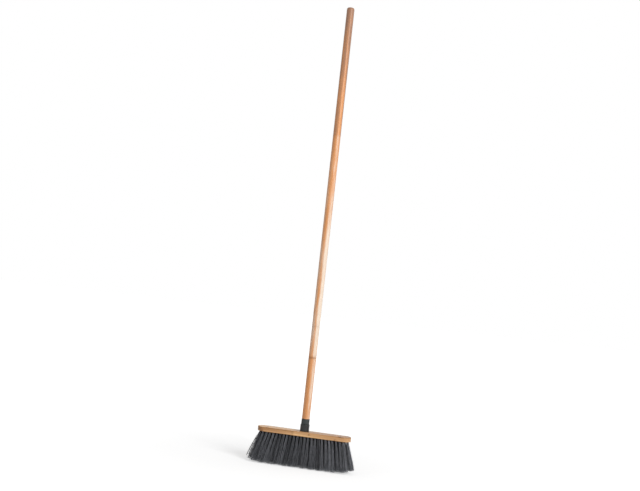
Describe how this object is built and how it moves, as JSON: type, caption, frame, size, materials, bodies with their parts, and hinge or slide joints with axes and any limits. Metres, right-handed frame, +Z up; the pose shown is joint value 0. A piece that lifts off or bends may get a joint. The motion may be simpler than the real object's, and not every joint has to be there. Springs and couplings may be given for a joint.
{
  "type": "upright broom",
  "caption": "Upright broom: a round bamboo stick with a threaded end that screws into a plastic socket on a long bamboo block with fanned rows of dark bristle tufts.",
  "frame": {"origin": "on the floor under the stick's axis, in the middle of the bristle tips", "axes": "+Z up along the stick, X along the block, -Y towards the side that the picture shows"},
  "size_m": [0.3006, 0.0626, 1.3229],
  "materials": {
    "bamboo_stick": "satin varnish over laminated bamboo",
    "bamboo_block": "satin varnish over laminated bamboo",
    "grey_plastic": "satin",
    "dark_plastic": "matte",
    "black_plastic": "glossy",
    "bristle": "satin filaments",
    "steel": "zinc plated"
  },
  "bodies": {
    "head": {"brush_block": "bamboo_block", "tuft_row_front": "bristle", "tuft_row_mid_front": "bristle", "tuft_row_mid_back": "bristle", "tuft_row_back": "bristle", "handle_socket": "black_plastic", "socket_screw_left": "steel", "socket_screw_right": "steel"},
    "sleeve": {"ferrule_sleeve": "grey_plastic"},
    "handle": {"handle_stick": "bamboo_stick", "threaded_end": "dark_plastic", "locking_pin": "steel"}
  },
  "joints": [
    {"name": "handle_lift", "type": "slide", "parent": "head", "child": "sleeve", "axis": [0, 0, 1], "range_m": [0, 0.0126]},
    {"name": "handle_turn", "type": "hinge", "parent": "sleeve", "child": "handle", "pos_m": [0, 0, 0.1201], "axis": [0, 0, 1], "range_deg": [0, 1080]}
  ],
  "couplings": [
    {"joint": "handle_lift", "follows": "handle_turn", "m_per_rad": 0.00066845}
  ]
}
